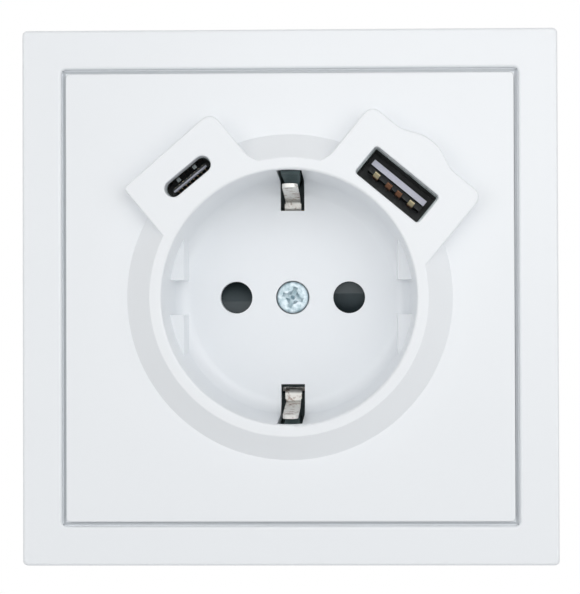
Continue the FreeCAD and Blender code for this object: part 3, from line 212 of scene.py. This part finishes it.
for name, half_band in (("usb_a_tongue", WHOLE_NOSE), ("usb_c_tongue", STEEL_HALF)):
    resin, tree, shader, place = start_material(f"{name}_glass_filled_resin", IOR=1.5)
    glass = add(tree, "ShaderNodeTexNoise", {"Scale": 1 / GLASS_FLECK, "Detail": 3.0},
                [("Vector", place, "Object")])
    black = add(tree, "ShaderNodeMix", {6: linear("0E181A"), 7: linear("1B282B")}, [(0, glass, "Fac")],
                data_type="RGBA")
    pale = add(tree, "ShaderNodeMix", {6: linear("BCBFCD"), 7: linear("CFD0DC")}, [(0, glass, "Fac")],
               data_type="RGBA")
    parts = add(tree, "ShaderNodeSeparateXYZ", links=[("Vector", place, "Object")])
    # In front of NOSE_END the larger tongue is painted pale all across, as painted light on its lit nose.
    nose = add(tree, "ShaderNodeMath", {1: NOSE_END}, [(0, parts, "Y")], operation="LESS_THAN")
    along = add(tree, "ShaderNodeVectorMath", {1: (math.cos(STEEL_TURN), 0, math.sin(STEEL_TURN))},
                [(0, place, "Object")], operation="DOT_PRODUCT")
    band = add(tree, "ShaderNodeMath", {1: STEEL_AT, 2: half_band}, [(0, along, "Value")], operation="COMPARE")
    light = add(tree, "ShaderNodeMath", links=[(0, nose, "Value"), (1, band, "Value")], operation="MULTIPLY")
    tone = add(tree, "ShaderNodeMix", links=[(0, light, "Value"), (6, black, 2), (7, pale, 2)], data_type="RGBA")
    tree.links.new(tone.outputs[2], shader.inputs["Base Color"])
    vary(tree, shader, place, size=0.3 * MM, low=0.35, high=0.5)
    finish(resin, name)


# The port contacts are stamped from phosphor bronze and set in the tongues, with a matt gold flash on their noses.
# The inner two leaves of the larger port sit deeper, and there the colour turns darker brown as painted shade.
DEEP_SHADE_FROM = -7.2 * MM
DEEP_SHADE_FADE = 0.2 * MM

gold, tree, shader, place = start_material("gold_flashed_bronze", Metallic=0.15)
parts = add(tree, "ShaderNodeSeparateXYZ", links=[("Vector", place, "Object")])
# Deeper than this depth the colour turns brown, painted shade for the leaves that sit further in.
deep_shade = add(tree, "ShaderNodeMapRange", {"From Min": DEEP_SHADE_FROM - DEEP_SHADE_FADE, "From Max": DEEP_SHADE_FROM + DEEP_SHADE_FADE},
            [("Value", parts, "Y")])
tone = add(tree, "ShaderNodeMix", {6: linear("FFF0C4"), 7: linear("C08A6C")}, [(0, deep_shade, "Result")],
           data_type="RGBA")
tree.links.new(tone.outputs[2], shader.inputs["Base Color"])
vary(tree, shader, place, size=0.3 * MM, low=0.3, high=0.45)
finish(gold, "usb_a_contacts", "usb_c_contacts")


# The mounting plate is stamped from hot dip galvanised steel sheet, 1.2 mm thick, and screwed to the base. The dip
# leaves flat zinc crystals, each with a brightness of its own.
SPANGLE = 2.2 * MM

galvanised, tree, shader, place = start_material("hot_dip_galvanised_sheet", Metallic=1.0)
crystals = add(tree, "ShaderNodeTexVoronoi", {"Scale": 1 / SPANGLE}, [("Vector", place, "Object")])
gloss = add(tree, "ShaderNodeMapRange", {"To Min": 0.35, "To Max": 0.55}, [("Value", crystals, "Color")])
tone = add(tree, "ShaderNodeMix", {6: linear("AFB4B8"), 7: linear("CDD1D4")}, [(0, crystals, "Color")],
           data_type="RGBA")
tree.links.new(gloss.outputs["Result"], shader.inputs["Roughness"])
tree.links.new(tone.outputs[2], shader.inputs["Base Color"])
finish(galvanised, "mounting_plate")


# The shutter that closes the pin holes is moulded from acetal, darker than the base. It turns on the centre plate's
# column, and is smooth where the pins rub it.
acetal, tree, shader, place = start_material("dark_slate_acetal", IOR=1.48)
mottle(tree, shader, place, size=4 * MM, dark="2C373B", light="323D41")
vary(tree, shader, place, size=0.6 * MM, low=0.32, high=0.42)
finish(acetal, "shutter")


# The shutter's torsion spring is hard drawn steel wire, coiled cold round the hub. Drawing leaves the wire bright,
# with small changes of tone and gloss along it.
wire, tree, shader, place = start_material("hard_drawn_spring_wire", Metallic=1.0)
mottle(tree, shader, place, size=0.4 * MM, dark="94989B", light="B4B7B9")
vary(tree, shader, place, size=0.2 * MM, low=0.25, high=0.38)
finish(wire, "shutter_spring")


# The cover frame and the centre plate are injection moulded from white ABS in polished moulds. The face mirrors soft
# light, with the faint waviness that shrinking leaves, and a cool tint from the pigment. The groove between the two
# is painted a tone darker, as painted shade for its narrow depth.
WHITE = "F3F6F9"
GROOVE_SHADE_TONE = "C4C8CC"
GROOVE_TOP = 8.8 * MM
GROOVE_PLACE = 0.35 * MM
GROOVE_HALF = 0.2 * MM
SHRINK_WAVE = 14 * MM

groove_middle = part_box("centre_plate")[1][0] + GROOVE_PLACE
white_abs, tree, shader, place = start_material("white_abs_polished_mould", IOR=1.53)
away = add(tree, "ShaderNodeVectorMath", links=[(0, place, "Object")], operation="ABSOLUTE")
parts = add(tree, "ShaderNodeSeparateXYZ", links=[("Vector", away, "Vector")])
side = add(tree, "ShaderNodeMath", links=[(0, parts, "X"), (1, parts, "Z")], operation="MAXIMUM")
# This mask paints shade: the narrow groove round the centre plate is given a darker tone.
ring = add(tree, "ShaderNodeMath", {1: groove_middle, 2: GROOVE_HALF}, [(0, side, "Value")], operation="COMPARE")
deep = add(tree, "ShaderNodeMath", {1: GROOVE_TOP}, [(0, parts, "Y")], operation="LESS_THAN")
groove_shade = add(tree, "ShaderNodeMath", links=[(0, ring, "Value"), (1, deep, "Value")], operation="MULTIPLY")
tone = add(tree, "ShaderNodeMix", {6: linear(WHITE), 7: linear(GROOVE_SHADE_TONE)}, [(0, groove_shade, "Value")],
           data_type="RGBA")
tree.links.new(tone.outputs[2], shader.inputs["Base Color"])
vary(tree, shader, place, size=SHRINK_WAVE, low=0.28, high=0.32, detail=0.0)
waves(tree, shader, place, size=SHRINK_WAVE, depth=0.3 * MM, strength=0.03, detail=0.0)
finish(white_abs, "cover_frame", "centre_plate")


# The centre screw holds the centre plate. It is cold headed steel, zinc plated and blue passivated. Its tone drifts
# in patches from teal grey to near white, partly uneven plating and partly painted glints and painted shade. All the
# other screws come from the same bath.
GLITTER = 0.8 * MM

zinc, tree, shader, place = start_material("blue_passivated_zinc", Metallic=0.5)
# Painted glints and painted shade: these patches mix uneven plating with light and shade put into the colour.
mottle(tree, shader, place, size=GLITTER, dark="9FB6BE", light="DFEBF1")
vary(tree, shader, place, size=GLITTER, low=0.4, high=0.55)
waves(tree, shader, place, size=GLITTER, depth=0.04 * MM, strength=0.35)
finish(zinc, "centre_screw", "cover_screws", "plate_screws", "terminal_screws")


# The studio has a pale painted floor well below the socket, out of the picture. It glows a little for the camera and
# in reflections, and none of that glow falls on the socket.
FLOOR_HALF = 0.3
FLOOR_HEIGHT = -0.12
FLOOR_GLOW = 0.35


def seen_rays(tree):
    """1 where the camera looks, also through a reflection or glass, and 0 where light only bounces."""
    ray = add(tree, "ShaderNodeLightPath")
    seen = add(tree, "ShaderNodeMath", links=[(0, ray, "Is Camera Ray"), (1, ray, "Is Glossy Ray")],
               operation="MAXIMUM")
    return add(tree, "ShaderNodeMath", links=[(0, seen, "Value"), (1, ray, "Is Transmission Ray")],
               operation="MAXIMUM")


corners = [(x * FLOOR_HALF, y * FLOOR_HALF, FLOOR_HEIGHT) for x, y in ((-1, -1), (1, -1), (1, 1), (-1, 1))]
ground = bpy.data.meshes.new("studio_floor")
ground.from_pydata(corners, [], [(0, 1, 2, 3)])
floor = bpy.data.objects.new("studio_floor", ground)
bpy.context.scene.collection.objects.link(floor)
pale, tree, shader, place = start_material("pale_painted_floor", Emission_Color=linear("E7E8E9"))
glow = add(tree, "ShaderNodeMath", {1: FLOOR_GLOW}, [(0, seen_rays(tree), "Value")], operation="MULTIPLY")
tree.links.new(glow.outputs["Value"], shader.inputs["Emission Strength"])
mottle(tree, shader, place, size=80 * MM, dark="E4E5E6", light="EAEBEC")
vary(tree, shader, place, size=30 * MM, low=0.6, high=0.7)
ground.materials.append(pale)


# Three soft boxes light the socket plainly from the front, one near and one at each side. The room adds even light
# from all round, and is white wherever the camera looks past the socket.
ROOM_LIGHT = 0.42
BACKDROP_WHITE = 1.0


def soft_box(name, spot, side, watts):
    """A square soft box at that spot, aimed at the middle of the socket."""
    light = bpy.data.lights.new(name, "AREA")
    light.shape = "SQUARE"
    light.size = side
    light.energy = watts
    lamp = bpy.data.objects.new(name, light)
    lamp.location = spot
    lamp.rotation_mode = "QUATERNION"
    lamp.rotation_quaternion = (-Vector(spot)).to_track_quat("-Z", "Y")
    bpy.context.scene.collection.objects.link(lamp)


soft_box("near_softbox", spot=(0.05, -0.3, 0.09), side=0.2, watts=0.2)
soft_box("left_softbox", spot=(-0.45, -0.6, 0.05), side=0.5, watts=1.0)
soft_box("right_softbox", spot=(0.45, -0.5, 0.05), side=0.5, watts=0.9)

world = bpy.data.worlds.new("studio_room")
world.use_nodes = True
tree = world.node_tree
tree.nodes.clear()
room = add(tree, "ShaderNodeBackground", {"Color": linear("FFFFFF"), "Strength": ROOM_LIGHT})
backdrop = add(tree, "ShaderNodeBackground", {"Color": linear("FFFFFF"), "Strength": BACKDROP_WHITE})
blend = add(tree, "ShaderNodeMixShader", links=[(0, seen_rays(tree), "Value"), (1, room, "Background"),
                                                (2, backdrop, "Background")])
add(tree, "ShaderNodeOutputWorld", links=[("Surface", blend, "Shader")])
bpy.context.scene.world = world


# The camera stands before the socket, a little to the right. Lens and shift put the frame's corners where the photo
# has them.
CAMERA_PLACE = Vector((9.93, -277.52, -1.46)) * MM
CAMERA_TARGET = Vector((4.809, -12.5, 1.366)) * MM
CAMERA_ROLL = math.radians(-0.193)

lens = bpy.data.cameras.new("photo_camera")
lens.sensor_fit = "HORIZONTAL"
lens.sensor_width = 36.0
lens.lens = 104.1
lens.shift_x = -0.0505
lens.shift_y = -0.0153
lens.clip_start = 0.01
camera = bpy.data.objects.new("photo_camera", lens)
camera.location = CAMERA_PLACE
camera.rotation_mode = "QUATERNION"
aim = (CAMERA_TARGET - CAMERA_PLACE).to_track_quat("-Z", "Y")
camera.rotation_quaternion = aim @ Quaternion((0, 0, 1), CAMERA_ROLL)
bpy.context.scene.collection.objects.link(camera)
bpy.context.scene.camera = camera
bpy.context.scene.view_settings.view_transform = "Standard"
